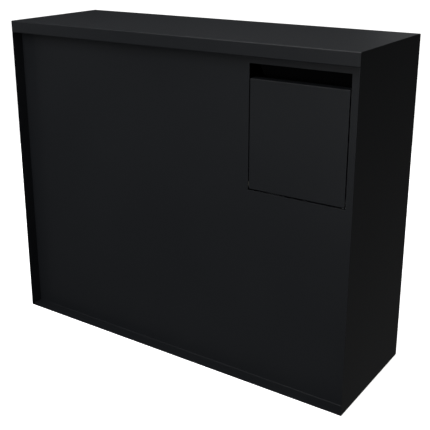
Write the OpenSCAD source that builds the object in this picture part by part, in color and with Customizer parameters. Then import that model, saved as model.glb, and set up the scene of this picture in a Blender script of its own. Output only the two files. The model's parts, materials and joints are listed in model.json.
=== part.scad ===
// Parcel drop box: a welded sheet-steel cabinet with a tipping deposit hopper in
// its recessed front and a pair of lockable collection doors at the back.
// Origin: middle of the base on the floor. +X to the right, +Y to the back, +Z up.

/* [Cabinet] */
// Width of the cabinet from side to side
box_w = 1200; // [1000:10:1500]
// Height of the cabinet
box_h = 1000; // [830:10:1200]
// Depth of the cabinet from front to back
box_d = 400; // [380:10:500]
// Height of the lip that the top cover turns down at the front and back
lip_h = 37.5; // [30:0.5:50]
// Depth of the front panel behind the front edges
panel_recess = 40; // [30:1:50]
// Depth of the doors behind the back edges
door_recess = 30; // [26:1:40]

/* [Sheet metal] */
// Thickness of the shell's sheets
sheet_t = 1.5; // [1.2:0.1:2]
// Inside radius of the sheet bends
bend_r = 1.5; // [1:0.5:3]
// Width of the flanges that the sheets are joined by
flange_w = 20; // [14:1:30]

/* [Deposit opening] */
// Width of the flap
flap_w = 290; // [240:5:350]
// Height of the flap
flap_h = 312.5; // [260:2.5:375]
// Gap at the flap's sides and bottom edge
flap_gap = 3; // [2.5:0.5:5]
// Height of the hand slot above the flap
slot_h = 40.5; // [34:0.5:50]
// Panel width between the opening and the right-hand side
opening_margin = 37; // [30:1:120]
// Panel height between the lip and the opening
opening_drop = 24; // [20:1:60]
// Width of the frame that stiffens the opening's edge
surround_w = 20; // [15:1:24]

/* [Hopper] */
// Angle that the flap tips out by
open_angle = 50; // [40:1:55]
// Slope of the tray towards the chamber when the flap is shut
tray_slope = 25; // [20:1:28]
// Reach of the tray from the axle
tray_reach = 228; // [190:1:240]
// Distance of the axle from the flap's front face and lower edge
axle_inset = 12; // [11.5:0.5:12.5]
// Diameter of the hopper's axle
axle_d = 8; // [6:0.5:9]
// Depth of the flange that is turned inwards along the flap's top edge
grip_flange = 30; // [20:1:35]
// Side of the square counterweight bar
weight_side = 20; // [14:1:22]

/* [Doors] */
// Depth of the doors' folded edges
door_t = 20; // [18:1:24]
// Gap between the doors and the frame above and below them
door_gap = 4; // [3:0.5:6]
// Half of the gap between the two doors
meeting_gap = 3; // [2:0.5:5]
// Height of the sill under the doors
sill_h = 30; // [28:1:60]
// Outside radius of the hinge knuckles
knuckle_r = 5; // [4.5:0.5:5.5]
// Diameter of the hinge pins
hinge_pin_d = 5; // [4:0.5:6]
// Length of each hinge
hinge_len = 90; // [60:5:120]

/* [Lock] */
// Distance of the lock from the meeting edge of its door
lock_inset = 67; // [60:1:90]
// Radius that the cam's pins drive the rods at
cam_pin_r = 15; // [14:0.5:16]
// Length of the handle's arm
lever_len = 115; // [90:5:140]
// Travel of the push lock
plunger_travel = 6; // [5:0.5:6]
// Travel of the second door's bolts
bolt_travel = 20; // [16:0.5:22]

/* [Anchors] */
// Distance between the anchor holes from left to right
anchor_x = 1000; // [800:10:1100]
// Distance between the anchor holes from front to back
anchor_y = 220; // [180:5:240]
// Diameter of the anchor holes
anchor_d = 12; // [9:0.5:14]

/* [Hidden] */
$fn = 48;

powder_black = [0.10, 0.105, 0.11];
zinc = [0.62, 0.63, 0.64];
rubber_black = [0.04, 0.04, 0.04];
nylon = [0.85, 0.84, 0.80];
chrome = [0.75, 0.76, 0.78];

eps = 0.5;
fit_gap = 0.05;      // radial clearance of a running fit
touch_gap = 0.3;     // gap between a rubber stop and what rests on it
half_w = box_w / 2;
half_d = box_d / 2;
inner_x = half_w - sheet_t;
roof_z = box_h - sheet_t;
lip_z = box_h - lip_h;
lip_return = 15;                  // lip's lower edge, turned back under it
ledge_gap = 0.5;                  // between the ledge and the cabinet's front edge
flange_end_gap = 10;              // from a joining flange's ends to the roof and base
rib_half = 20;                    // half of a roof rib's crown
rib_foot = 25;                    // width of each of its feet
rib_end_gap = 5;
anchor_plate_w = 60;
anchor_plate_t = 3;
mat_t = 4;
mat_gap = 4;                      // round the mat, before and behind it
mat_side_gap = 8;
mat_cut_gap = 2;                  // between the mat and an anchor plate

// Front panel and its opening
panel_y = -half_d + panel_recess;
panel_back = panel_y + sheet_t;
surround_back = panel_back + sheet_t;
surround_trim = 6;                // the surround is narrower beside the side panel
open_x1 = half_w - opening_margin;
open_x0 = open_x1 - flap_w - 2 * flap_gap;
open_z1 = lip_z - opening_drop;
open_z0 = open_z1 - slot_h - flap_h - flap_gap;
flap_x0 = open_x0 + flap_gap;
flap_x1 = flap_x0 + flap_w;

// Hopper, in its own frame: u to the back and v up from the axle's centre
axle_r = axle_d / 2;
axle_y = panel_y + axle_inset;
axle_z = open_z0 + flap_gap + axle_inset;
flap_in_u = sheet_t - axle_inset;
flap_top_v = flap_h - axle_inset;
cheek_inset = 1.7;
cheek_x0 = flap_x0 + cheek_inset;
cheek_x1 = flap_x1 - cheek_inset;
cheek_r = flap_top_v - sheet_t - 3; // clear of the inside of the flap's flange
bay_x0 = cheek_x0 + sheet_t;
bay_x1 = cheek_x1 - sheet_t;
tray_under = axle_r + 1.5;        // tray's lower face from the axle's centre
tray_end_drop = 22;               // height of the tray's turned-down end
weight_end = 22;                  // from the counterweight's start to that end
weight_s = tray_reach - weight_end - sheet_t; // counterweight's start along the tray
surround_u = surround_back - axle_y;
buffer_t = 5;
lug_t = 3;
lug_r = 190;
lug_h = 14;
lug_out = 9;
bracket_t = 2;
bracket_gap = 2;                  // between an axle bracket and the opening's edge
bracket_x0 = open_x0 - bracket_gap;
bracket_x1 = open_x1 + bracket_gap;
bracket_z0 = axle_z - 65;
bracket_z1 = axle_z + 48;
bracket_y1 = axle_y + 92;
bracket_flange = surround_w + 4;
nut_inset = 12;
nut_r = 5;
nut_h = 5;
stud_r = 3;
stud_len = 10;
stud_play = 0.2;
bush_r = 6.5;
bush_flange = 2;
bush_flange_r = bush_r + 2;
bush_tail = 1;                    // bush that stands out behind its bracket
axle_tail = 5;                    // axle that stands out behind it
collar_gap = 0.2;
collar_r = axle_r + 2.2;
rail_s = 70;                      // middle of the stop rail along the tray
rail_w = 30;
buffer_h = 10;
buffer_w = 20;
buffer_inset = 30;                // from the scoop's sides to the closing buffers
opening_buffer_w = 5.5;

// Doors and back frame
door_y = half_d - door_recess;
door_in = door_y - door_t;
seal_space = 5;                   // between a door's back and its stop face
stop_y = door_in - seal_space;
stop_in = stop_y - sheet_t;
door_z0 = sill_h + door_gap;
door_z1 = lip_z - door_gap;
hinge_axis_inset = 10;
hinge_end = 100;                  // from a door's ends to its outer hinges' middles
hinge_x = half_w - hinge_axis_inset;
leaf_out = hinge_x - knuckle_r - 1;
leaf_in = meeting_gap;
seal_w = 6;
seal_h = door_in - stop_y - touch_gap;
stop_over = 14;                   // height of the stop flange beside a door's edge
post_w = half_w - sheet_t - leaf_out + 10.5;
post_d = 25;
mullion_w = 40;
hinge_pin_r = hinge_pin_d / 2;
hinge_z = [door_z0 + hinge_end, (door_z0 + door_z1) / 2, door_z1 - hinge_end];
knuckle_gap = 0.4;
knuckle_len = (hinge_len - 2 * knuckle_gap) / 3;
leaf_t = 2;
leaf_w = 28;
header_flange = 28;
keeper_t = 2;
keeper_half = 22;
keeper_edge = 5;                  // from a keeper's slot to its long edges
seal_edge = 4;                    // from a seal to its door's upper and lower edges
rib_end = 30;                     // from a door rib to those edges
door_rib_half = 20;
door_rib_foot = 22;
door_rib_h = 12;
lip_w = 12;

// Lock
lock_x = -(meeting_gap + lock_inset);
lock_z = (sill_h + lip_z) / 2;
rod_y0 = door_in + 2;
rod_t = 4;
rod_w = 14;
cam_y0 = rod_y0 + rod_t + 1;
cam_t = 4;
cam_r = 34;
cam_pin = 3;
pin_play = 0.7;
pin_low = cam_pin_r * cos(45);
rod_x = (cam_pin_r + pin_low) / 2;
slot_half = (cam_pin_r - pin_low) / 2 + cam_pin + pin_play;
rod_rest = 2;                     // how far a rod's tip is inside its door at rest
head_w = 22;
head_h = 20;
spindle_r = 6;
plate_t = 2;
case_w = 80;
case_h = 90;
case_y0 = door_in - 4;
plunger_at = 26;
plunger_r = 6;
plunger_pin_r = 3;
boss_h = 8;
hub_r = 14;
lever_y0 = door_y + 14;
lever_y1 = door_y + 26;
escutcheon_w = 76;
escutcheon_h = 150;
screw_z = 62;
bolt_x = 45;
bolt_grip = 156;                  // length of a bolt without its travel
bolt_len = bolt_grip + bolt_travel;
knob_at = 20;
guide_w = 26;
guide_h = 16;
slot_play = 1;

function turn_of(a, b) = let (d = b - a) d > 180 ? d - 360 : d < -180 ? d + 360 : d;
function heading(p, q) = atan2(q[1] - p[1], q[0] - p[0]);

// Points of an arc round c, from angle a0 through a sweep
function arc(c, r, a0, sweep, steps = 8) =
    [for (i = [0:steps]) c + r * [cos(a0 + sweep * i / steps), sin(a0 + sweep * i / steps)]];

// Arc on one side of a bend: side 1 is the sheet's face on the path, 0 the other
function bend(p, q, s, t, r, side) =
    let (
        a = heading(p, q),
        turn = turn_of(a, heading(q, s)),
        way = sign(turn),
        path_r = way > 0 ? r + t : r,
        far_r = way > 0 ? r : r + t,
        mid = a + turn / 2,
        c = q + way * path_r / cos(turn / 2) * [-sin(mid), cos(mid)]
    )
    arc(c, side == 1 ? path_r : far_r, a - 90 * way, turn);

// Outline of a folded sheet that lies to the left of the path
function folded(path, t = sheet_t, r = bend_r) =
    let (
        n = len(path),
        a0 = heading(path[0], path[1]),
        a1 = heading(path[n - 2], path[n - 1]),
        near = [for (i = [1:1:n - 2]) each bend(path[i - 1], path[i], path[i + 1], t, r, 1)],
        far = [for (i = [n - 2:-1:1])
            let (b = bend(path[i - 1], path[i], path[i + 1], t, r, 0))
            each [for (k = [len(b) - 1:-1:0]) b[k]]]
    )
    concat([path[0]], near, [path[n - 1]],
           [path[n - 1] + t * [-sin(a1), cos(a1)]], far,
           [path[0] + t * [-sin(a0), cos(a0)]]);

// Point in the hopper's frame: s along the shut tray, n square to it and up
function on_tray(s, n) = [s * cos(tray_slope) + n * sin(tray_slope),
                          n * cos(tray_slope) - s * sin(tray_slope)];

module block(p, q) { translate(p) cube(q - p); }
module along_x(x0, x1) { translate([x0, 0, 0]) rotate([90, 0, 90]) linear_extrude(x1 - x0) children(); }
module along_y(y0, y1) { translate([0, y1, 0]) rotate([90, 0, 0]) linear_extrude(y1 - y0) children(); }
module along_z(z0, z1) { translate([0, 0, z0]) linear_extrude(z1 - z0) children(); }
module rod_x_at(y, z, r, x0, x1) { along_x(x0, x1) translate([y, z]) circle(r); }
module rod_y_at(x, z, r, y0, y1) { along_y(y0, y1) translate([x, z]) circle(r); }
module rod_z_at(x, y, r, z0, z1) { along_z(z0, z1) translate([x, y]) circle(r); }
module on_axle() { translate([0, axle_y, axle_z]) children(); }
module both_sides() { children(); mirror([1, 0, 0]) children(); }

// ---- Shell ----

module top_cover() color(powder_black)
    difference() {
        along_x(-half_w, half_w)
            polygon(folded([[half_d, lip_z], [half_d, box_h], [-half_d, box_h],
                            [-half_d, lip_z], [-half_d + lip_return, lip_z]]));
        both_sides()
            block([inner_x, -half_d + sheet_t, lip_z - eps],
                  [half_w + eps, -half_d + lip_return + eps, lip_z + sheet_t + bend_r]);
    }

module side_panel() {
    corner = half_d - sheet_t - bend_r;
    along_x(inner_x, half_w)
        polygon(concat(
            [[-half_d, sheet_t], [half_d, sheet_t], [half_d, lip_z], [half_d - sheet_t, lip_z]],
            arc([corner, roof_z - bend_r], bend_r, 0, 90),
            arc([-corner, roof_z - bend_r], bend_r, 90, 90),
            [[-half_d + sheet_t, lip_z], [-half_d, lip_z]]));
}

module left_side_panel() color(powder_black) mirror([1, 0, 0]) side_panel();
module right_side_panel() color(powder_black) side_panel();

module anchor_holes(z0, z1) {
    for (x = [-1, 1], y = [-1, 1])
        rod_z_at(x * anchor_x / 2, y * anchor_y / 2, anchor_d / 2, z0, z1);
}

module base_plate() color(powder_black)
    difference() {
        block([-half_w, -half_d, 0], [half_w, half_d, sheet_t]);
        anchor_holes(-eps, sheet_t + eps);
    }

// The lower flange is turned forwards to make the ledge in front of the panel
module front_panel() color(powder_black)
    difference() {
        union() {
            along_x(-inner_x, inner_x)
                polygon(folded([[panel_y + flange_w, roof_z], [panel_y, roof_z],
                                [panel_y, 2 * sheet_t], [-half_d + ledge_gap, 2 * sheet_t]]));
            both_sides()
                block([inner_x - sheet_t, panel_y + sheet_t / 2, flange_end_gap],
                      [inner_x, panel_y + flange_w, roof_z - flange_end_gap]);
        }
        block([open_x0, panel_y - eps, open_z0], [open_x1, panel_back + eps, open_z1]);
    }

module opening_surround() color(powder_black)
    difference() {
        block([open_x0 - surround_w, panel_back, open_z0 - surround_w],
              [open_x1 + surround_w - surround_trim, surround_back, open_z1 + surround_w]);
        block([open_x0, panel_back - eps, open_z0], [open_x1, surround_back + eps, open_z1]);
    }

module roof_ribs() color(powder_black)
    for (x = [-box_w / 4, 0])
        translate([x, 0, 0]) rotate([90, 0, 0]) translate([0, 0, -stop_in])
            linear_extrude(stop_in - panel_y - flange_w - rib_end_gap)
                polygon(folded([[-rib_half - rib_foot, roof_z - sheet_t], [-rib_half, roof_z - sheet_t],
                                [-rib_half, roof_z - flange_w], [rib_half, roof_z - flange_w],
                                [rib_half, roof_z - sheet_t], [rib_half + rib_foot, roof_z - sheet_t]]));

module anchor_plates() color(zinc)
    difference() {
        for (x = [-1, 1], y = [-1, 1])
            translate([x * anchor_x / 2, y * anchor_y / 2, sheet_t])
                linear_extrude(anchor_plate_t) square(anchor_plate_w, center = true);
        anchor_holes(0, sheet_t + anchor_plate_t + eps);
    }

module drop_mat() color(rubber_black)
    difference() {
        block([-inner_x + mat_side_gap, panel_back + mat_gap, sheet_t],
              [inner_x - mat_side_gap, stop_in - mat_gap, sheet_t + mat_t]);
        for (x = [-1, 1], y = [-1, 1])
            translate([x * anchor_x / 2, y * anchor_y / 2, 0])
                linear_extrude(sheet_t + mat_t + eps) square(anchor_plate_w + 2 * mat_cut_gap, center = true);
    }

// ---- Back frame ----

module rear_header() color(powder_black)
    difference() {
        along_x(-inner_x, inner_x) union() {
            polygon(folded([[stop_y, door_z1 - stop_over], [stop_y, lip_z],
                            [half_d - sheet_t, lip_z], [half_d - sheet_t, lip_z + header_flange]]));
            translate([stop_in, lip_z - 1]) square([sheet_t, roof_z - lip_z + 1]);
        }
        rod_slots(lip_z - eps, lip_z + sheet_t + eps, 1);
    }

module rear_sill() color(powder_black)
    difference() {
        along_x(-inner_x, inner_x) union() {
            polygon(folded([[half_d, sheet_t], [half_d, sill_h],
                            [stop_y, sill_h], [stop_y, door_z0 + stop_over]]));
            translate([stop_in, sheet_t]) square([sheet_t, sill_h - sheet_t]);
        }
        rod_slots(sill_h - sheet_t - eps, sill_h + eps, -1);
    }

// Slots that the rods and bolts shoot through: way is 1 at the top, -1 at the bottom
module rod_slots(z0, z1, way) {
    for (x = [lock_x + way * rod_x, bolt_x])
        block([x - rod_w / 2 - slot_play, rod_y0 - slot_play, z0],
              [x + rod_w / 2 + slot_play, rod_y0 + rod_t + slot_play, z1]);
}

module rear_post() {
    along_z(door_z0 + stop_over, door_z1 - stop_over)
        polygon(folded([[inner_x, stop_y - post_d], [inner_x, stop_y], [inner_x - post_w, stop_y]]));
}

module left_rear_post() color(powder_black) mirror([1, 0, 0]) rear_post();
module right_rear_post() color(powder_black) rear_post();

module centre_mullion() color(powder_black)
    along_z(door_z0 + stop_over, door_z1 - stop_over)
        polygon(folded([[mullion_w / 2, stop_y - post_d], [mullion_w / 2, stop_y],
                        [-mullion_w / 2, stop_y], [-mullion_w / 2, stop_y - post_d]]));

module door_seal() {
    x0 = leaf_in + 5;
    x1 = leaf_out - 2.5;
    z0 = door_z0 + seal_edge;
    z1 = door_z1 - seal_edge;
    along_y(stop_y, stop_y + seal_h)
        difference() {
            translate([x0, z0]) square([x1 - x0, z1 - z0]);
            translate([x0 + seal_w, z0 + seal_w]) square([x1 - x0 - 2 * seal_w, z1 - z0 - 2 * seal_w]);
        }
}

module left_door_seal() color(rubber_black) mirror([1, 0, 0]) door_seal();
module right_door_seal() color(rubber_black) door_seal();

module bolt_keepers() color(zinc)
    for (way = [1, -1])
        difference() {
            for (x = [lock_x + way * rod_x, bolt_x])
                block([x - keeper_half, rod_y0 - keeper_edge,
                       way > 0 ? lip_z + sheet_t : sill_h - sheet_t - keeper_t],
                      [x + keeper_half, rod_y0 + rod_t + keeper_edge,
                       way > 0 ? lip_z + sheet_t + keeper_t : sill_h - sheet_t]);
            rod_slots(way > 0 ? lip_z : 0, way > 0 ? lip_z + 10 : sill_h, way);
        }

// ---- Hopper bearings, stops and baffle ----

// The axle bracket on the opening's left; the right one is its mirror image
module axle_bracket() {
    difference() {
        translate([bracket_x0, 0, 0]) union() {
            block([-bracket_t, surround_back, bracket_z0], [0, bracket_y1, bracket_z1]);
            block([-bracket_flange, surround_back, bracket_z0],
                  [-bracket_t / 2, surround_back + bracket_t, bracket_z1]);
        }
        rod_x_at(axle_y, axle_z, bush_r + fit_gap, bracket_x0 - bracket_t - eps, bracket_x0 + eps);
        for (z = nut_levels())
            rod_y_at(bracket_x0 - nut_inset, z, stud_r + stud_play,
                     surround_back - eps, surround_back + bracket_t + eps);
    }
}

module right_way_round() {
    translate([bracket_x0 + bracket_x1, 0, 0]) mirror([1, 0, 0]) children();
}

function nut_levels() = [bracket_z0 + nut_inset, bracket_z1 - nut_inset];

module left_axle_bracket() color(zinc) axle_bracket();
module right_axle_bracket() color(zinc) right_way_round() axle_bracket();

// Hexagon nuts on the studs that are welded to the surround
module bracket_nuts() color(zinc)
    for (x = [bracket_x0 - nut_inset, bracket_x1 + nut_inset], z = nut_levels()) {
        rod_y_at(x, z, stud_r, surround_back, surround_back + stud_len);
        along_y(surround_back + bracket_t, surround_back + bracket_t + nut_h)
            translate([x, z]) circle(nut_r, $fn = 6);
    }

module axle_bush() {
    difference() {
        union() {
            rod_x_at(axle_y, axle_z, bush_r, bracket_x0 - bracket_t - bush_tail, bracket_x0);
            rod_x_at(axle_y, axle_z, bush_flange_r, bracket_x0, bracket_x0 + bush_flange);
        }
        rod_x_at(axle_y, axle_z, axle_r + fit_gap,
                 bracket_x0 - bracket_t - bush_tail - eps, bracket_x0 + bush_flange + eps);
    }
}

module axle_bushes() color(nylon) {
    axle_bush();
    right_way_round() axle_bush();
}

module tray_frame() { on_axle() rotate([-tray_slope, 0, 0]) children(); }

module stop_rail() color(zinc)
    tray_frame()
        translate([0, rail_s - rail_w / 2, 0])
            along_x(bracket_x0, bracket_x1)
                polygon(folded([[0, tray_under - touch_gap - buffer_h - sheet_t],
                                [rail_w, tray_under - touch_gap - buffer_h - sheet_t],
                                [rail_w, tray_under - touch_gap - buffer_h - flange_w]]));

module closing_buffers() color(rubber_black)
    tray_frame()
        for (x = [bay_x0 + buffer_inset, bay_x1 - buffer_inset])
            translate([x, rail_s - 3, tray_under - touch_gap - buffer_h])
                linear_extrude(buffer_h) square(buffer_w, center = true);

module opening_buffers() color(rubber_black)
    for (x = [open_x0 - 6, open_x1 + 0.5])
        block([x, surround_back, axle_z + lug_r - lug_h / 2],
              [x + opening_buffer_w, surround_back + buffer_t, axle_z + lug_r + lug_h / 2]);

// Sloping plate between the cheeks that meets the tray's edge when the flap is out
module anti_fishing_baffle() color(powder_black)
    on_axle() {
        top_v = flap_top_v + slot_h + 3;
        flange_u = surround_u + sheet_t;
        foot_a = open_angle - tray_slope + 1.5;
        along_x(bay_x0 + 4, bay_x1 - 4)
            polygon(folded([(tray_reach + 6) * [cos(foot_a), sin(foot_a)],
                            [grip_flange - axle_inset, top_v], [flange_u, top_v],
                            [flange_u, top_v + 15]]));
    }

// ---- Hopper ----

module flap() color(powder_black)
    on_axle() along_x(flap_x0, flap_x1)
        polygon(folded([[grip_flange - axle_inset, flap_top_v], [-axle_inset, flap_top_v],
                        [-axle_inset, -axle_inset], [2, -axle_inset]]));

// Sector plate that closes the hopper's side while the flap is out
module cheek() {
    along_x(cheek_x0, bay_x0)
        difference() {
            intersection() {
                circle(cheek_r, $fn = 96);
                polygon([[flap_in_u, flap_in_u], [10, flap_in_u], on_tray(13, tray_under),
                         on_tray(weight_s - 12, tray_under), on_tray(weight_s - 6, -16),
                         on_tray(tray_reach, -16), on_tray(tray_reach, 10),
                         (cheek_r + 5) * [cos(88 - open_angle), sin(88 - open_angle)],
                         cheek_r * [1, 1], [flap_in_u, cheek_r + 5]]);
            }
            circle(axle_r + fit_gap);
        }
    block([bay_x0 - eps, flap_in_u, 40], [bay_x0 + 12, flap_in_u + sheet_t, cheek_r - 12]);
}

module left_cheek() color(zinc) on_axle() cheek();
module right_cheek() color(zinc)
    on_axle() translate([cheek_x0 + cheek_x1, 0, 0]) mirror([1, 0, 0]) cheek();

// Tray of the hopper, with a flange on the flap and a turned-down end
module hopper_tray() color(zinc)
    on_axle() along_x(bay_x0, bay_x1)
        polygon(folded([[flap_in_u, 36],
                        [flap_in_u, (tray_under - flap_in_u * sin(tray_slope)) / cos(tray_slope)],
                        on_tray(tray_reach - sheet_t, tray_under),
                        on_tray(tray_reach - sheet_t, tray_under - tray_end_drop)]));

module counterweight() color(zinc)
    tray_frame()
        block([bay_x0, weight_s, tray_under - weight_side],
              [bay_x1, weight_s + weight_side, tray_under]);

module hopper_axle() color(zinc)
    rod_x_at(axle_y, axle_z, axle_r,
             bracket_x0 - bracket_t - axle_tail, bracket_x1 + bracket_t + axle_tail);

module axle_collars() color(zinc)
    difference() {
        for (x = [bracket_x0 + bush_flange + collar_gap, cheek_x1])
            rod_x_at(axle_y, axle_z, collar_r,
                     x, x + cheek_x0 - bracket_x0 - bush_flange - collar_gap);
        rod_x_at(axle_y, axle_z, axle_r + fit_gap, bracket_x0, bracket_x1);
    }

// Lugs that meet the opening buffers when the flap is fully out
module stop_lugs() color(zinc)
    on_axle() rotate([-open_angle, 0, 0])
        for (x = [cheek_x0 - lug_out, cheek_x1])
            translate([x, surround_u + buffer_t + touch_gap, lug_r - lug_h / 2])
                cube([lug_out, lug_t, lug_h]);

// ---- Door hinges ----

// Knuckles of the right-hand hinges: third 0 is the middle one
module knuckle(z, third) {
    along_z(z + third * (knuckle_len + knuckle_gap) - knuckle_len / 2,
            z + third * (knuckle_len + knuckle_gap) + knuckle_len / 2)
        difference() {
            union() {
                translate([hinge_x, door_y]) circle(knuckle_r);
                if (third == 0)
                    translate([leaf_out - 1, door_y]) square([hinge_x - leaf_out + 1, leaf_t]);
                else
                    translate([hinge_x, door_y - 3]) square([inner_x - hinge_x - 1, 6]);
            }
            translate([hinge_x, door_y]) circle(hinge_pin_r + fit_gap);
        }
}

module frame_leaves() {
    for (z = hinge_z) {
        block([inner_x - leaf_t, door_in + 2, z - hinge_len / 2],
              [inner_x, door_y + 8, z + hinge_len / 2]);
        for (third = [-1, 1]) knuckle(z, third);
    }
}

module door_leaves() {
    for (z = hinge_z) {
        block([leaf_out - leaf_w, door_y, z - hinge_len / 2],
              [leaf_out - 0.5, door_y + leaf_t, z + hinge_len / 2]);
        knuckle(z, 0);
    }
}

module hinge_pins() {
    for (z = hinge_z) {
        rod_z_at(hinge_x, door_y, hinge_pin_r, z - hinge_len / 2 - 1, z + hinge_len / 2 + 0.1);
        rod_z_at(hinge_x, door_y, knuckle_r - 1, z + hinge_len / 2, z + hinge_len / 2 + 2);
    }
}

module left_hinge_frame_leaves() color(powder_black) mirror([1, 0, 0]) frame_leaves();
module right_hinge_frame_leaves() color(powder_black) frame_leaves();
module left_hinge_door_leaves() color(powder_black) mirror([1, 0, 0]) door_leaves();
module right_hinge_door_leaves() color(powder_black) door_leaves();
module left_hinge_pins() color(zinc) mirror([1, 0, 0]) hinge_pins();
module right_hinge_pins() color(zinc) hinge_pins();

// ---- Doors ----

// Pan of the right-hand door, with all four edges folded in
module door_pan() {
    x0 = leaf_in;
    x1 = leaf_out;
    along_z(door_z0, door_z1)
        polygon(folded([[x1 - lip_w, door_in], [x1, door_in], [x1, door_y],
                        [x0, door_y], [x0, door_in], [x0 + lip_w, door_in]]));
    for (z = [door_z0, door_z1 - sheet_t])
        block([x0 + 1, door_in, z], [x1 - 1, door_y - 1, z + sheet_t]);
    for (z = [door_z0, door_z1 - lip_w])
        block([x0 + 1, door_in, z], [x1 - 1, door_in + sheet_t, z + lip_w]);
}

module door_rod_slot(x, z) {
    block([x - rod_w / 2 - slot_play, rod_y0 - slot_play, z - lip_w],
          [x + rod_w / 2 + slot_play, rod_y0 + rod_t + slot_play, z + lip_w]);
}

module lock_holes(y0, y1) {
    rod_y_at(lock_x, lock_z, spindle_r + 0.5, y0, y1);
    rod_y_at(plunger_xz()[0], plunger_xz()[1], plunger_r + 0.5, y0, y1);
}

function plunger_xz() = [lock_x + plunger_at * cos(45), lock_z + plunger_at * sin(45)];

module left_door_skin() color(powder_black)
    difference() {
        mirror([1, 0, 0]) door_pan();
        door_rod_slot(lock_x + rod_x, door_z1);
        door_rod_slot(lock_x - rod_x, door_z0);
        lock_holes(door_y - 5, door_y + eps);
    }

module right_door_skin() color(powder_black)
    difference() {
        door_pan();
        for (z = [door_z0, door_z1]) door_rod_slot(bolt_x, z);
    }

// Hat-shaped stiffener up the middle of a door
module door_rib() {
    y = door_y - sheet_t;
    foot = door_rib_half + door_rib_foot;
    along_z(door_z0 + rib_end, door_z1 - rib_end)
        translate([(leaf_in + leaf_out) / 2, 0])
            polygon(folded([[foot, y], [door_rib_half, y], [door_rib_half, y - door_rib_h],
                            [-door_rib_half, y - door_rib_h], [-door_rib_half, y], [-foot, y]]));
}

module left_door_rib() color(powder_black) mirror([1, 0, 0]) door_rib();
module right_door_rib() color(powder_black) door_rib();

// ---- Lock of the left-hand door ----

module at_lock() { translate([lock_x, 0, lock_z]) children(); }

module escutcheon() color(chrome)
    difference() {
        union() {
            at_lock() block([-escutcheon_w / 2, door_y, -escutcheon_h / 2],
                            [escutcheon_w / 2, door_y + plate_t, escutcheon_h / 2]);
            rod_y_at(plunger_xz()[0], plunger_xz()[1], plunger_r + 4,
                     door_y, door_y + plate_t + boss_h);
        }
        rod_y_at(lock_x, lock_z, spindle_r + fit_gap, door_y - eps, door_y + 20);
        rod_y_at(plunger_xz()[0], plunger_xz()[1], plunger_r + fit_gap, door_y - eps, door_y + 20);
        for (z = [-screw_z, screw_z])
            rod_y_at(lock_x, lock_z + z, 2.2, door_y - eps, door_y + 20);
    }

module escutcheon_screws() color(zinc)
    for (z = [-screw_z, screw_z])
        translate([lock_x, door_y, lock_z + z]) rotate([-90, 0, 0]) {
            cylinder(h = plate_t, r = 2);
            translate([0, 0, plate_t])
                rotate_extrude() intersection() {
                    translate([0, -4]) circle(6);
                    square([4.5, 2]);
                }
        }

module lock_case() color(zinc)
    at_lock()
        along_z(-case_h / 2, case_h / 2)
            polygon(folded([[-case_w / 2, door_y - sheet_t], [-case_w / 2, case_y0],
                            [case_w / 2, case_y0], [case_w / 2, door_y - sheet_t]]));

module bar_guide(x, z) {
    difference() {
        block([x - guide_w / 2, door_in, z - guide_h / 2],
              [x + guide_w / 2, door_y - sheet_t, z + guide_h / 2]);
        block([x - rod_w / 2 - 0.3, rod_y0 - 0.3, z - guide_h],
              [x + rod_w / 2 + 0.3, rod_y0 + rod_t + 0.3, z + guide_h]);
    }
}

module rod_guides() color(nylon)
    for (way = [-1, 1], far = [0.45, 0.88])
        bar_guide(lock_x + way * rod_x, lock_z + way * far * (door_z1 - lock_z));

module lever_handle() color(chrome)
    at_lock() {
        rod_y_at(0, 0, spindle_r, cam_y0, door_y + plate_t + touch_gap);
        rod_y_at(0, 0, hub_r, door_y + plate_t + touch_gap, lever_y1);
        along_y(lever_y0, lever_y1) {
            translate([-lever_len, 0]) circle(10);
            translate([-lever_len, -10]) square([lever_len, 20]);
        }
    }

// Cam disc with the two pins that drive the rods and the push lock's two holes
module lock_cam() color(zinc)
    at_lock() {
        along_y(cam_y0, cam_y0 + cam_t)
            difference() {
                circle(cam_r);
                circle(spindle_r + fit_gap);
                for (a = [-45, 45]) rotate(a) translate([plunger_at, 0]) circle(plunger_pin_r + 0.4);
            }
        for (a = [-45, 135])
            rod_y_at(cam_pin_r * cos(a), cam_pin_r * sin(a), cam_pin, rod_y0 - 1.5, cam_y0 + 1);
    }

// Flat rod with a slotted head that the cam's pin runs in: way is 1 for the upper rod
module lock_rod(way) {
    tip = way > 0 ? door_z1 - rod_rest - lock_z : lock_z - door_z0 - rod_rest;
    at_lock()
        along_y(rod_y0, rod_y0 + rod_t)
            scale([way, way])
                difference() {
                    union() {
                        translate([rod_x - head_w / 2, -pin_low - head_h / 2]) square([head_w, head_h]);
                        translate([rod_x - rod_w / 2, -pin_low]) square([rod_w, tip + pin_low]);
                    }
                    translate([rod_x - slot_half, -pin_low - cam_pin - pin_play])
                        square([2 * slot_half, 2 * (cam_pin + pin_play)]);
                }
}

module upper_rod() color(zinc) lock_rod(1);
module lower_rod() color(zinc) lock_rod(-1);

module push_lock() color(chrome)
    difference() {
        union() {
            rod_y_at(plunger_xz()[0], plunger_xz()[1], plunger_r,
                     door_y - 2, door_y + plate_t + boss_h + plunger_travel + 2);
            rod_y_at(plunger_xz()[0], plunger_xz()[1], plunger_pin_r,
                     cam_y0 + cam_t + 1.5, door_y - 1);
        }
        translate([plunger_xz()[0] - 0.8, door_y + plate_t + boss_h + plunger_travel, plunger_xz()[1] - 3.5])
            cube([1.6, 5, 7]);
    }

// ---- Bolts of the right-hand door ----

module bolt_guides() color(nylon)
    for (way = [-1, 1], at = [26, 110]) {
        edge = way > 0 ? door_z1 : door_z0;
        bar_guide(bolt_x, edge - way * at);
    }

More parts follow.
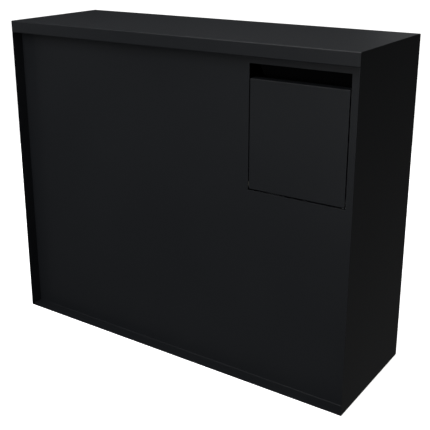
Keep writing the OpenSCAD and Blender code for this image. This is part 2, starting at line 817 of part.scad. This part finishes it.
// Slide bolt with a finger knob: way is 1 for the top one
module slide_bolt(way) {
    tip = way > 0 ? door_z1 - rod_rest : door_z0 + rod_rest;
    low = min(tip, tip - way * bolt_len);
    block([bolt_x - rod_w / 2, rod_y0, low], [bolt_x + rod_w / 2, rod_y0 + rod_t, low + bolt_len]);
    rod_y_at(bolt_x, tip - way * (bolt_len - knob_at), 6, rod_y0 - 20, rod_y0 + 1);
}

module top_bolt() color(zinc) slide_bolt(1);
module bottom_bolt() color(zinc) slide_bolt(-1);

top_cover();
left_side_panel();
right_side_panel();
base_plate();
front_panel();
opening_surround();
roof_ribs();
anchor_plates();
drop_mat();
rear_header();
rear_sill();
left_rear_post();
right_rear_post();
centre_mullion();
left_door_seal();
right_door_seal();
bolt_keepers();
left_axle_bracket();
right_axle_bracket();
bracket_nuts();
axle_bushes();
stop_rail();
closing_buffers();
opening_buffers();
anti_fishing_baffle();
flap();
left_cheek();
right_cheek();
hopper_tray();
counterweight();
hopper_axle();
axle_collars();
stop_lugs();
left_hinge_frame_leaves();
left_hinge_pins();
right_hinge_frame_leaves();
right_hinge_pins();
left_door_skin();
left_door_rib();
left_hinge_door_leaves();
escutcheon();
escutcheon_screws();
lock_case();
rod_guides();
lever_handle();
lock_cam();
upper_rod();
lower_rod();
push_lock();
right_door_skin();
right_door_rib();
right_hinge_door_leaves();
bolt_guides();
top_bolt();
bottom_bolt();
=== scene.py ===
import json
import math

import bmesh
import bpy
from mathutils import Matrix, Vector

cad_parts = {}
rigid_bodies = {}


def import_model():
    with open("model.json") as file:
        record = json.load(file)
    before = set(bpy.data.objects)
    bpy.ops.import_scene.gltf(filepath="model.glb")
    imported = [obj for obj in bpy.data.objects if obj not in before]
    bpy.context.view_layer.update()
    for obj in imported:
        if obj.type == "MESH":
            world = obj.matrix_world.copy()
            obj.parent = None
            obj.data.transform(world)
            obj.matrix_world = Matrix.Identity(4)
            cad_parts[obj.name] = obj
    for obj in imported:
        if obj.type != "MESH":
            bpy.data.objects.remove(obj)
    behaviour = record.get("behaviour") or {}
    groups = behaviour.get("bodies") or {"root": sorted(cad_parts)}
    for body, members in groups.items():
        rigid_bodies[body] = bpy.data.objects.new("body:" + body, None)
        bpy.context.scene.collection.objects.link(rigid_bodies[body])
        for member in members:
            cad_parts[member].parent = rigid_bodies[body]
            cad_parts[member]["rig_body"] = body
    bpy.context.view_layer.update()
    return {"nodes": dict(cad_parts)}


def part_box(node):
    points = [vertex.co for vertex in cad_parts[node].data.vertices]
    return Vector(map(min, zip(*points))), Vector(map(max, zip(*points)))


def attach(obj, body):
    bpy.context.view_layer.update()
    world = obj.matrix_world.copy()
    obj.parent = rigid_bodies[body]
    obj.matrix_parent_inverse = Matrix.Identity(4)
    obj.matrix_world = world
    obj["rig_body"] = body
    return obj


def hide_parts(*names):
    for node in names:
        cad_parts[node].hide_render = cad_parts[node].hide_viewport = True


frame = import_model()


# ---- Base plate ----
# The base is a flat sheet of 1.5 mm steel, powder coated in satin black, with four anchor holes.
# Its cut edges are lightly rounded, as the coat leaves them.

SHARP = math.radians(34)


def soften_edges(mesh, width):
    """Joins a mesh's loose triangles into faces and rounds its sharp edges."""
    bm = bmesh.new()
    bm.from_mesh(mesh)
    bmesh.ops.remove_doubles(bm, verts=bm.verts, dist=2e-6)
    bmesh.ops.dissolve_limit(bm, angle_limit=math.radians(0.5), verts=bm.verts, edges=bm.edges)
    sharp = [e for e in bm.edges if len(e.link_faces) == 2 and e.calc_face_angle(0) > SHARP]
    bmesh.ops.bevel(
        bm, geom=sharp, offset=width, offset_type="OFFSET", segments=2,
        profile=0.5, affect="EDGES", clamp_overlap=True,
    )
    bmesh.ops.triangulate(bm, faces=bm.faces)
    bm.to_mesh(mesh)
    bm.free()


def shade_by_angle(mesh):
    """Smooth shading that keeps the corners between faces hard."""
    for face in mesh.polygons:
        face.use_smooth = True
    mesh.set_sharp_from_angle(angle=SHARP)


def flat_beside_rounds(piece):
    """Keeps wide faces flat to the eye beside their rounded edges."""
    weigh = piece.modifiers.new("flat faces", "WEIGHTED_NORMAL")
    weigh.keep_sharp = True
    weigh.weight = 80
    made = piece.evaluated_get(bpy.context.evaluated_depsgraph_get())
    mesh = bpy.data.meshes.new_from_object(made)
    piece.modifiers.remove(weigh)
    piece.data = mesh


def add_piece(name, mesh, body, material, replaced=()):
    """Puts a finished mesh in the scene on its body, in place of the named nodes."""
    mesh.materials.clear()
    mesh.materials.append(material)
    piece = bpy.data.objects.new(name, mesh)
    bpy.context.scene.collection.objects.link(piece)
    flat_beside_rounds(piece)
    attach(piece, body)
    if replaced:
        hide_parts(*replaced)
    return piece


def finished(node, material, width=0.0003):
    """A node's own shape with rounded edges and its finish."""
    mesh = frame["nodes"][node].data.copy()
    soften_edges(mesh, width)
    shade_by_angle(mesh)
    body = frame["nodes"][node]["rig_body"]
    return add_piece(node + "_finished", mesh, body, material, [node])


def new_material(name):
    """A new material with its node tree and its main shader."""
    material = bpy.data.materials.new(name)
    material.use_nodes = True
    tree = material.node_tree
    return material, tree, tree.nodes["Principled BSDF"]


def noise(tree, place, scale, detail=2.0, roughness=0.5):
    node = tree.nodes.new("ShaderNodeTexNoise")
    node.inputs["Scale"].default_value = scale
    node.inputs["Detail"].default_value = detail
    node.inputs["Roughness"].default_value = roughness
    tree.links.new(place, node.inputs["Vector"])
    return node.outputs["Fac"]


def two_tones(tree, value, low, dark, high, light):
    """Runs from a dark to a light colour as the value runs from low to high."""
    node = tree.nodes.new("ShaderNodeValToRGB")
    node.color_ramp.elements[0].position = low
    node.color_ramp.elements[0].color = (*dark, 1)
    node.color_ramp.elements[1].position = high
    node.color_ramp.elements[1].color = (*light, 1)
    tree.links.new(value, node.inputs["Fac"])
    return node.outputs["Color"]


def between(tree, value, low, high):
    node = tree.nodes.new("ShaderNodeMapRange")
    node.inputs["To Min"].default_value = low
    node.inputs["To Max"].default_value = high
    tree.links.new(value, node.inputs["Value"])
    return node.outputs["Result"]


def relief(tree, height, depth, under=None):
    node = tree.nodes.new("ShaderNodeBump")
    node.inputs["Distance"].default_value = depth
    tree.links.new(height, node.inputs["Height"])
    if under is not None:
        tree.links.new(under, node.inputs["Normal"])
    return node.outputs["Normal"]


def powder_coat(name, dark, light, gloss_low=0.40, gloss_high=0.50, shine=0.22):
    """Satin powder coat: fine orange peel, slow colour drift and a slightly uneven gloss."""
    material, tree, shader = new_material(name)
    place = tree.nodes.new("ShaderNodeTexCoord").outputs["Object"]
    drift = noise(tree, place, 3.0, 3.0)
    tree.links.new(two_tones(tree, drift, 0.3, dark, 0.7, light), shader.inputs["Base Color"])
    gloss = noise(tree, place, 160.0, 3.0, 0.6)
    tree.links.new(between(tree, gloss, gloss_low, gloss_high), shader.inputs["Roughness"])
    wave = relief(tree, noise(tree, place, 2.2, 1.0), 0.0009)
    peel = relief(tree, noise(tree, place, 620.0, 2.0), 0.000022, wave)
    tree.links.new(peel, shader.inputs["Normal"])
    shader.inputs["Specular IOR Level"].default_value = shine
    return material


black_coat = powder_coat("satin_black_coat", (0.0112, 0.0125, 0.0147), (0.0132, 0.0146, 0.0169))

finished("base_plate", black_coat)


# ---- Side panels ----
# Each side is one flat sheet from the front edge to the back edge, welded under the top cover.
# The welds are ground flush, so that the corners read as one clean edge.

finished("left_side_panel", black_coat)
finished("right_side_panel", black_coat)


# ---- Front panel ----
# The front panel is a sheet set 40 mm back, with its lower flange turned forwards as a ledge.
# The opening for the flap is laser cut, and a welded frame stiffens its edge from behind.

finished("front_panel", black_coat)
finished("opening_surround", black_coat)


# ---- Top cover ----
# The top cover is a folded sheet with a deep lip at the front and the back.
# Its long bends have a 3 mm outside radius, where the light draws a thin bright line.

finished("top_cover", black_coat)
finished("roof_ribs", black_coat)


# ---- Spot welds ----
# The feet of the roof ribs are spot welded to the top cover from inside, every 60 mm.
# Each weld leaves a shallow ring with a dimple, which the coat softens.

def repeated(name, points, one, material):
    """Sets one small shape at every point with Geometry Nodes, and returns a plain mesh."""
    holder = bpy.data.meshes.new(name + "_points")
    holder.from_pydata(points, [], [])
    carrier = bpy.data.objects.new(name, holder)
    pattern = bpy.data.objects.new(name + "_one", one)
    bpy.context.scene.collection.objects.link(carrier)
    bpy.context.scene.collection.objects.link(pattern)

    tree = bpy.data.node_groups.new(name, "GeometryNodeTree")
    tree.interface.new_socket("Places", in_out="INPUT", socket_type="NodeSocketGeometry")
    tree.interface.new_socket("Result", in_out="OUTPUT", socket_type="NodeSocketGeometry")
    shape = tree.interface.new_socket("Shape", in_out="INPUT", socket_type="NodeSocketObject")
    size = tree.interface.new_socket("Size", in_out="INPUT", socket_type="NodeSocketFloat")
    finish = tree.interface.new_socket("Finish", in_out="INPUT", socket_type="NodeSocketMaterial")

    entry = tree.nodes.new("NodeGroupInput")
    leave = tree.nodes.new("NodeGroupOutput")
    fetch = tree.nodes.new("GeometryNodeObjectInfo")
    place = tree.nodes.new("GeometryNodeInstanceOnPoints")
    real = tree.nodes.new("GeometryNodeRealizeInstances")
    coat = tree.nodes.new("GeometryNodeSetMaterial")
    tree.links.new(entry.outputs["Places"], place.inputs["Points"])
    tree.links.new(entry.outputs["Shape"], fetch.inputs["Object"])
    tree.links.new(fetch.outputs["Geometry"], place.inputs["Instance"])
    tree.links.new(entry.outputs["Size"], place.inputs["Scale"])
    tree.links.new(place.outputs["Instances"], real.inputs["Geometry"])
    tree.links.new(real.outputs["Geometry"], coat.inputs["Geometry"])
    tree.links.new(entry.outputs["Finish"], coat.inputs["Material"])
    tree.links.new(coat.outputs["Geometry"], leave.inputs["Result"])

    modifier = carrier.modifiers.new("pattern", "NODES")
    modifier.node_group = tree
    modifier[shape.identifier] = pattern
    modifier[size.identifier] = 1.0
    modifier[finish.identifier] = material
    made = carrier.evaluated_get(bpy.context.evaluated_depsgraph_get())
    mesh = bpy.data.meshes.new_from_object(made)
    carrier.modifiers.remove(modifier)
    bpy.data.objects.remove(carrier)
    bpy.data.objects.remove(pattern)
    return mesh


def turned(profile, steps, axis):
    """A shape of revolution from (radius, height) pairs, with closed ends, along an axis."""
    bm = bmesh.new()
    rings = []
    for radius, height in profile:
        ring = []
        for k in range(steps):
            a = 2 * math.pi * k / steps
            ring.append(bm.verts.new((radius * math.cos(a), radius * math.sin(a), height)))
        rings.append(ring)
    for low, high in zip(rings, rings[1:]):
        for k in range(steps):
            bm.faces.new((low[k], low[(k + 1) % steps], high[(k + 1) % steps], high[k]))
    bm.faces.new(list(reversed(rings[0])))
    bm.faces.new(rings[-1])
    aim = Vector(axis).to_track_quat("Z", "Y").to_matrix().to_4x4()
    bmesh.ops.transform(bm, matrix=aim, verts=bm.verts)
    bmesh.ops.recalc_face_normals(bm, faces=bm.faces)
    mesh = bpy.data.meshes.new("turned")
    bm.to_mesh(mesh)
    bm.free()
    return mesh


def spaced(low, high, pitch):
    """Evenly spaced places from low to high, about a pitch apart."""
    count = max(1, round((high - low) / pitch))
    return [low + (high - low) * k / count for k in range(count + 1)]


WELD = [(0.0034, -0.0003), (0.0034, 0.00012), (0.0028, 0.00018), (0.0019, 0.00005), (0.0006, 0.00002)]
WELD_PITCH = 0.06
WELD_END = 0.02            # from a rib's end to its first weld
WELD_NEAR = 0.0125         # from a rib's edge to the weld in its first foot
WELD_FAR = 0.0775          # from that edge to the weld in its second foot

foot_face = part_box("top_cover")[1].z - 0.003
rib_low, rib_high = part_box("roof_ribs")
weld_spots = []
for y in spaced(rib_low.y + WELD_END, rib_high.y - WELD_END, WELD_PITCH):
    for x in (rib_low.x + WELD_NEAR, rib_low.x + WELD_FAR, rib_high.x - WELD_FAR, rib_high.x - WELD_NEAR):
        weld_spots.append((x, y, foot_face))
add_piece(
    "rib_welds",
    repeated("rib_welds", weld_spots, turned(WELD, 16, (0, 0, -1)), black_coat),
    "cabinet", black_coat,
)


# ---- Floor fittings ----
# Zinc-plated doubler plates spread the load of the anchor bolts, and a studded rubber mat
# softens the fall of the parcels. The mat is cut out round the plates.

def zinc_plating(name, dark, light):
    """Zinc plating: a dull bright metal with a patchy bloom and faint rolling lines."""
    material, tree, shader = new_material(name)
    place = tree.nodes.new("ShaderNodeTexCoord").outputs["Object"]
    bloom = noise(tree, place, 55.0, 5.0, 0.62)
    tree.links.new(two_tones(tree, bloom, 0.32, dark, 0.68, light), shader.inputs["Base Color"])
    tree.links.new(between(tree, bloom, 0.30, 0.46), shader.inputs["Roughness"])
    stretch = tree.nodes.new("ShaderNodeMapping")
    stretch.inputs["Scale"].default_value = (1.0, 14.0, 14.0)
    tree.links.new(place, stretch.inputs["Vector"])
    rolled = relief(tree, noise(tree, stretch.outputs["Vector"], 90.0, 2.0), 0.00003)
    tree.links.new(rolled, shader.inputs["Normal"])
    shader.inputs["Metallic"].default_value = 1.0
    return material


def moulded_rubber(name):
    """Black rubber with a fine moulded grain and a greyish bloom."""
    material, tree, shader = new_material(name)
    place = tree.nodes.new("ShaderNodeTexCoord").outputs["Object"]
    bloom = noise(tree, place, 24.0, 4.0)
    tone = two_tones(tree, bloom, 0.3, (0.012, 0.012, 0.012), 0.8, (0.024, 0.024, 0.025))
    tree.links.new(tone, shader.inputs["Base Color"])
    tree.links.new(between(tree, bloom, 0.62, 0.82), shader.inputs["Roughness"])
    tree.links.new(relief(tree, noise(tree, place, 900.0, 2.0), 0.00005), shader.inputs["Normal"])
    shader.inputs["Specular IOR Level"].default_value = 0.35
    return material


zinc = zinc_plating("zinc_plated_steel", (0.42, 0.43, 0.45), (0.58, 0.585, 0.60))
rubber = moulded_rubber("moulded_rubber")

STUD_PITCH = 0.024
STUD_HEIGHT = 0.0016
STUD_ROW_INSET = 0.012     # from the mat's edge to the first stud
STUD_EDGE = 0.008          # least distance from a stud to the mat's side edges
PLATE_HALF = 0.03          # half the width of an anchor plate
PLATE_CLEAR = 0.040        # no stud this near to a plate's centre, along x and y at once
STUD = [(0.0058, -0.0004), (0.0058, 0.0008), (0.0050, 0.0014), (0.0036, 0.0016)]


def studded_mat():
    """The mat's sheet, a stud's height lower than its node, with studs on a staggered grid."""
    low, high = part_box("drop_mat")
    sheet = frame["nodes"]["drop_mat"].data.copy()
    soften_edges(sheet, 0.0004)
    base = high.z - STUD_HEIGHT
    for v in sheet.vertices:
        if v.co.z > base:
            v.co.z = base - (high.z - v.co.z) * 0.5
    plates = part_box("anchor_plates")[1]
    plate_x = plates.x - PLATE_HALF
    plate_y = plates.y - PLATE_HALF
    keep_out = [(sx * plate_x, sy * plate_y) for sx in (-1, 1) for sy in (-1, 1)]
    spots = []
    for row, y in enumerate(spaced(low.y + STUD_ROW_INSET, high.y - STUD_ROW_INSET, STUD_PITCH)):
        shift = STUD_PITCH / 2 if row % 2 else 0
        for x in spaced(low.x + STUD_ROW_INSET + shift, high.x - STUD_PITCH + shift, STUD_PITCH):
            near = any(
                abs(x - px) < PLATE_CLEAR and abs(y - py) < PLATE_CLEAR for px, py in keep_out
            )
            if not near and low.x + STUD_EDGE < x < high.x - STUD_EDGE:
                spots.append((x, y, base))
    studs = repeated("mat_studs", spots, turned(STUD, 12, (0, 0, 1)), rubber)
    bm = bmesh.new()
    bm.from_mesh(sheet)
    bm.from_mesh(studs)
    joined = bpy.data.meshes.new("drop_mat_studded")
    bm.to_mesh(joined)
    bm.free()
    shade_by_angle(joined)
    return joined


finished("anchor_plates", zinc)
add_piece("drop_mat_studded", studded_mat(), "cabinet", rubber, ["drop_mat"])


# ---- Back frame ----
# Header, sill, posts and mullion are folded sheets that the doors close against.
# Rubber strips stuck to their stop faces keep the rain out, and plated keepers take the bolts.

def bulb_seal(node, name):
    """A door seal as a rubber strip with a rounded bulb along it."""
    low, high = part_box(node)
    width = 0.006
    depth = high.y - low.y
    ring = []
    for k in range(9):
        a = math.pi * k / 8
        ring.append((width / 2 - width / 2 * math.cos(a), depth * (0.35 + 0.65 * math.sin(a))))
    section = [(0, 0)] + ring + [(width, 0)]
    corners = [
        (low.x, low.z, 1, 1), (high.x, low.z, -1, 1),
        (high.x, high.z, -1, -1), (low.x, high.z, 1, -1),
    ]
    bm = bmesh.new()
    rings = []
    for x, z, sx, sz in corners:
        rings.append([bm.verts.new((x + sx * u, low.y + v, z + sz * u)) for u, v in section])
    for k in range(4):
        here, there = rings[k], rings[(k + 1) % 4]
        for i in range(len(section)):
            j = (i + 1) % len(section)
            bm.faces.new((here[i], here[j], there[j], there[i]))
    bmesh.ops.recalc_face_normals(bm, faces=bm.faces)
    mesh = bpy.data.meshes.new(name)
    bm.to_mesh(mesh)
    bm.free()
    shade_by_angle(mesh)
    return add_piece(name, mesh, "cabinet", rubber, [node])


for part in ("rear_header", "rear_sill", "left_rear_post", "right_rear_post", "centre_mullion"):
    finished(part, black_coat)
bulb_seal("left_door_seal", "left_door_bulb_seal")
bulb_seal("right_door_seal", "right_door_bulb_seal")
finished("bolt_keepers", zinc)


# ---- Hopper bearings and stops ----
# Two plated brackets are bolted to studs behind the panel and carry the axle in nylon bushes.
# Rubber blocks on a folded rail, and behind the opening's sides, stop the hopper at each end.

def natural_nylon(name):
    """Cream nylon with a waxy, slightly uneven surface."""
    material, tree, shader = new_material(name)
    place = tree.nodes.new("ShaderNodeTexCoord").outputs["Object"]
    cloud = noise(tree, place, 60.0, 3.0)
    tone = two_tones(tree, cloud, 0.3, (0.60, 0.57, 0.49), 0.7, (0.68, 0.65, 0.57))
    tree.links.new(tone, shader.inputs["Base Color"])
    tree.links.new(between(tree, cloud, 0.38, 0.52), shader.inputs["Roughness"])
    tree.links.new(relief(tree, noise(tree, place, 500.0), 0.00002), shader.inputs["Normal"])
    return material


nylon = natural_nylon("natural_nylon")

for part in ("left_axle_bracket", "right_axle_bracket", "bracket_nuts", "stop_rail"):
    finished(part, zinc)
finished("axle_bushes", nylon)
finished("closing_buffers", rubber, 0.001)
finished("opening_buffers", rubber, 0.0008)


# ---- Baffle ----
# A fixed sheet slopes down behind the slot, so that nobody can reach over the tray.
# Its coat is matt, and darker than the cabinet's black as painted shade, so that the slot reads dark, and
# letters slide down it.

# Painted shade: the near-black tones below stand in for the shadow inside the slot.
painted_shade_coat = powder_coat(
    "matt_black_inner_coat", (0.0022, 0.0024, 0.0027), (0.0030, 0.0032, 0.0035), 0.72, 0.84, 0.05,
)

finished("anti_fishing_baffle", painted_shade_coat)


# ---- Hopper ----
# The flap is a folded sheet with a deep flange along its top edge, which is also the pull.
# Plated cheeks and a tray make the scoop, and a steel bar under the tray pulls it shut.

finished("flap", black_coat)
for part in ("left_cheek", "right_cheek", "hopper_tray", "counterweight", "hopper_axle",
             "axle_collars", "stop_lugs"):
    finished(part, zinc)

# The cheeks' flanges are riveted to the back of the flap.
RIVET = [(0.0024, -0.0004), (0.0024, 0.0003), (0.0020, 0.0009), (0.0010, 0.0012)]

flap_low, flap_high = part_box("flap")
rivet_rows = []
for node, side in (("left_cheek", 1), ("right_cheek", -1)):
    low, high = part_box(node)
    edge = high.x - 0.006 if side > 0 else low.x + 0.006
    for z in spaced(flap_low.z + 0.075, flap_high.z - 0.035, 0.055):
        rivet_rows.append((edge, flap_low.y + 0.003, z))
add_piece(
    "flap_rivets",
    repeated("flap_rivets", rivet_rows, turned(RIVET, 14, (0, 1, 0)), zinc),
    "hopper", zinc,
)


# ---- Doors ----
# Two pan doors with folded edges swing on three welded hinges each.
# A hat-shaped rib stiffens each door from inside.

for part in ("left_door_skin", "right_door_skin", "left_door_rib", "right_door_rib",
             "left_hinge_frame_leaves", "right_hinge_frame_leaves",
             "left_hinge_door_leaves", "right_hinge_door_leaves"):
    finished(part, black_coat)
for part in ("left_hinge_pins", "right_hinge_pins"):
    finished(part, zinc)


# ---- Lock ----
# The handle turns a cam that drives two flat rods, and a push lock holds the cam.
# The handle and its plate are satin chrome, and the works behind the door are zinc plated.

def satin_chrome(name):
    """Satin chrome on a die casting: soft gloss with faint polishing marks."""
    material, tree, shader = new_material(name)
    place = tree.nodes.new("ShaderNodeTexCoord").outputs["Object"]
    marks = noise(tree, place, 240.0, 3.0)
    tone = two_tones(tree, marks, 0.3, (0.50, 0.51, 0.53), 0.7, (0.60, 0.61, 0.63))
    tree.links.new(tone, shader.inputs["Base Color"])
    tree.links.new(between(tree, marks, 0.20, 0.30), shader.inputs["Roughness"])
    tree.links.new(relief(tree, marks, 0.00002), shader.inputs["Normal"])
    shader.inputs["Metallic"].default_value = 1.0
    return material


chrome = satin_chrome("satin_chrome")


ARM_SIDES = 20
ARM_STATIONS = 26


def lever():
    """The cast handle: a domed hub, and an arm that thins and narrows to a rounded end."""
    low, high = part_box("lever_handle")
    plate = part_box("escutcheon")[0].y + 0.002
    spindle_x = high.x - 0.014
    centre_z = (low.z + high.z) / 2
    hub = turned(
        [(0.0060, low.y), (0.0060, plate + 0.0003), (0.0136, plate + 0.0003),
         (0.0140, plate + 0.0012), (0.0140, high.y - 0.0042), (0.0134, high.y - 0.0022),
         (0.0114, high.y - 0.0006), (0.0086, high.y - 0.0001), (0.0030, high.y)],
        48, (0, 0, 1),
    )
    bm = bmesh.new()
    bm.from_mesh(hub)
    for v in bm.verts:
        v.co = Vector((spindle_x + v.co.x, v.co.z, centre_z + v.co.y))
    sections = []
    reach = spindle_x - low.x
    for k in range(ARM_STATIONS + 1):
        t = k / ARM_STATIONS
        x = spindle_x - 0.006 - (reach - 0.006) * t
        end = max(0.0, (t - 0.93) / 0.07)
        round_off = math.sqrt(max(0.0, 1 - end * end)) if end else 1.0
        half_tall = (0.0098 - 0.0022 * t) * round_off
        half_thick = (0.0058 - 0.0016 * t) * max(round_off, 0.25)
        mid_y = high.y - 0.0062 + 0.0006 * math.sin(math.pi * t)
        ring = []
        for i in range(ARM_SIDES):
            a = 2 * math.pi * i / ARM_SIDES
            c, s = math.cos(a), math.sin(a)
            flat = 0.62
            u = math.copysign(abs(c) ** flat, c) * half_tall
            v = math.copysign(abs(s) ** flat, s) * half_thick
            ring.append(bm.verts.new((x, mid_y + v, centre_z + u)))
        sections.append(ring)
    for near, far in zip(sections, sections[1:]):
        for i in range(ARM_SIDES):
            j = (i + 1) % ARM_SIDES
            bm.faces.new((near[i], near[j], far[j], far[i]))
    bm.faces.new(list(reversed(sections[0])))
    bm.faces.new(sections[-1])
    bmesh.ops.recalc_face_normals(bm, faces=bm.faces)
    mesh = bpy.data.meshes.new("cast_lever")
    bm.to_mesh(mesh)
    bm.free()
    shade_by_angle(mesh)
    return mesh


finished("escutcheon", chrome, 0.0006)
add_piece("cast_lever", lever(), "handle", chrome, ["lever_handle"])
finished("push_lock", chrome, 0.0004)
for part in ("lock_case", "lock_cam", "upper_rod", "lower_rod"):
    finished(part, zinc)
finished("rod_guides", nylon)

# Two raised-head screws with a hexagon socket hold the plate to the door.
SOCKET = 0.00125
SCREW = [
    (0.0020, 0.0), (0.0020, 0.0020), (0.0044, 0.0020), (0.0043, 0.0023), (0.0040, 0.0025),
    (0.0033, 0.0030), (0.0024, 0.0035), (0.0019, 0.0037), (SOCKET, 0.0036), (SOCKET, 0.0024),
]

screw = turned(SCREW, 48, (0, 1, 0))
for v in screw.vertices:
    if abs(math.hypot(v.co.x, v.co.z) - SOCKET) < 1e-6:
        turn = math.atan2(v.co.z, v.co.x) % (math.pi / 3) - math.pi / 6
        v.co.x /= math.cos(turn)
        v.co.z /= math.cos(turn)
screws_low, screws_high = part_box("escutcheon_screws")
screw_x = (screws_low.x + screws_high.x) / 2
head = (screws_high.x - screws_low.x) / 2
screw_spots = [(screw_x, screws_low.y, z) for z in (screws_low.z + head, screws_high.z - head)]
screw_mesh = repeated("plate_screws", screw_spots, screw, zinc)
shade_by_angle(screw_mesh)
add_piece("plate_screws", screw_mesh, "left_door", zinc, ["escutcheon_screws"])


# ---- Bolts of the right-hand door ----
# Flat plated bolts with a finger knob shoot up and down behind the door that closes first.
# They run in nylon blocks that are riveted to the door's pan.

for part in ("top_bolt", "bottom_bolt"):
    finished(part, zinc)
finished("bolt_guides", nylon)


# ---- Studio ----
# A plain pale floor and large soft lights: overhead, three in front, three behind, one a side.
# The floor is kept out of reflections and bounced light, so that the dark sides stay dark.

def pale_floor(radius):
    material, tree, shader = new_material("studio_floor")
    shader.inputs["Base Color"].default_value = (0.92, 0.92, 0.92, 1)
    shader.inputs["Roughness"].default_value = 0.9
    shader.inputs["Specular IOR Level"].default_value = 0.0
    shader.inputs["Emission Color"].default_value = (1, 1, 1, 1)
    shader.inputs["Emission Strength"].default_value = 0.92
    mesh = bpy.data.meshes.new("floor")
    bm = bmesh.new()
    low = Matrix.Translation((0, 0, -0.0004))
    bmesh.ops.create_circle(bm, cap_ends=True, segments=96, radius=radius, matrix=low)
    bm.to_mesh(mesh)
    bm.free()
    mesh.materials.append(material)
    floor = bpy.data.objects.new("floor", mesh)
    floor.visible_glossy = False
    floor.visible_diffuse = False
    bpy.context.scene.collection.objects.link(floor)


def soft_light(name, place, target, size, power):
    data = bpy.data.lights.new(name, "AREA")
    data.shape = "RECTANGLE"
    data.size, data.size_y = size
    data.energy = power
    light = bpy.data.objects.new(name, data)
    light.location = place
    light.rotation_mode = "QUATERNION"
    light.rotation_quaternion = (Vector(target) - Vector(place)).to_track_quat("-Z", "Y")
    light.visible_camera = False
    bpy.context.scene.collection.objects.link(light)


def white_surround(above, below):
    """White where it is seen directly, and otherwise a dim grey that is lighter from below."""
    world = bpy.data.worlds.new("studio")
    bpy.context.scene.world = world
    world.use_nodes = True
    tree = world.node_tree
    dim = tree.nodes["Background"]
    way = tree.nodes.new("ShaderNodeTexCoord").outputs["Generated"]
    height = tree.nodes.new("ShaderNodeSeparateXYZ")
    tree.links.new(way, height.inputs["Vector"])
    fade = tree.nodes.new("ShaderNodeMapRange")
    fade.inputs["From Min"].default_value = -0.5
    fade.inputs["From Max"].default_value = 0.1
    fade.inputs["To Min"].default_value = below
    fade.inputs["To Max"].default_value = above
    tree.links.new(height.outputs["Z"], fade.inputs["Value"])
    tree.links.new(fade.outputs["Result"], dim.inputs["Strength"])
    bright = tree.nodes.new("ShaderNodeBackground")
    bright.inputs["Strength"].default_value = 1.2
    seen = tree.nodes.new("ShaderNodeLightPath")
    mix = tree.nodes.new("ShaderNodeMixShader")
    tree.links.new(seen.outputs["Is Camera Ray"], mix.inputs["Fac"])
    tree.links.new(dim.outputs["Background"], mix.inputs[1])
    tree.links.new(bright.outputs["Background"], mix.inputs[2])
    tree.links.new(mix.outputs["Shader"], tree.nodes["World Output"].inputs["Surface"])
    dim.inputs["Color"].default_value = (1, 1, 1, 1)
    bright.inputs["Color"].default_value = (1, 1, 1, 1)


pale_floor(2.6)
white_surround(0.016, 0.12)
soft_light("overhead", (-0.2, 0.1, 3.6), (0, 0, 0.6), (3.2, 3.2), 80)
soft_light("front_low", (0.4, -3.6, 0.9), (0, 0, 0.5), (1.8, 1.8), 26)
soft_light("front_high", (-0.4, -3.0, 3.0), (0, -0.2, 0.5), (2.4, 2.4), 56)
soft_light("front_left", (-3.4, -1.4, 1.8), (0, 0, 0.5), (2.0, 2.0), 12)
soft_light("back_low", (-0.1, 3.2, 1.5), (0.3, 0, 1.0), (1.2, 1.2), 1.5)
soft_light("back_fill", (-2.4, 2.6, 0.5), (-0.2, 0, 0.5), (1.8, 0.8), 60)
soft_light("back_panel", (-0.4, 3.4, 0.5), (-0.4, 0, 0.5), (2.0, 0.9), 2.2)
soft_light("right_panel", (3.4, 0.3, 0.5), (0, 0.3, 0.5), (1.8, 0.9), 2.6)
soft_light("left_panel", (-3.4, 0.4, 0.5), (0, 0.4, 0.5), (1.8, 0.9), 4.5)

camera = bpy.data.objects.new("camera", bpy.data.cameras.new("camera"))
camera.data.lens = 66.42
camera.data.sensor_width = 36
camera.data.shift_x = 0.0337
camera.data.shift_y = -0.0988
camera.location = (1.3603, -1.9587, 1.2930)
across = Vector((0.82116, 0.57068, -0.00486))
ahead = Vector((-0.54568, 0.78264, -0.29952))
upward = across.cross(ahead)
camera.rotation_mode = "QUATERNION"
camera.rotation_quaternion = Matrix((across, upward, -ahead)).transposed().to_quaternion()
bpy.context.scene.collection.objects.link(camera)
bpy.context.scene.camera = camera
bpy.context.scene.view_settings.view_transform = "Standard"
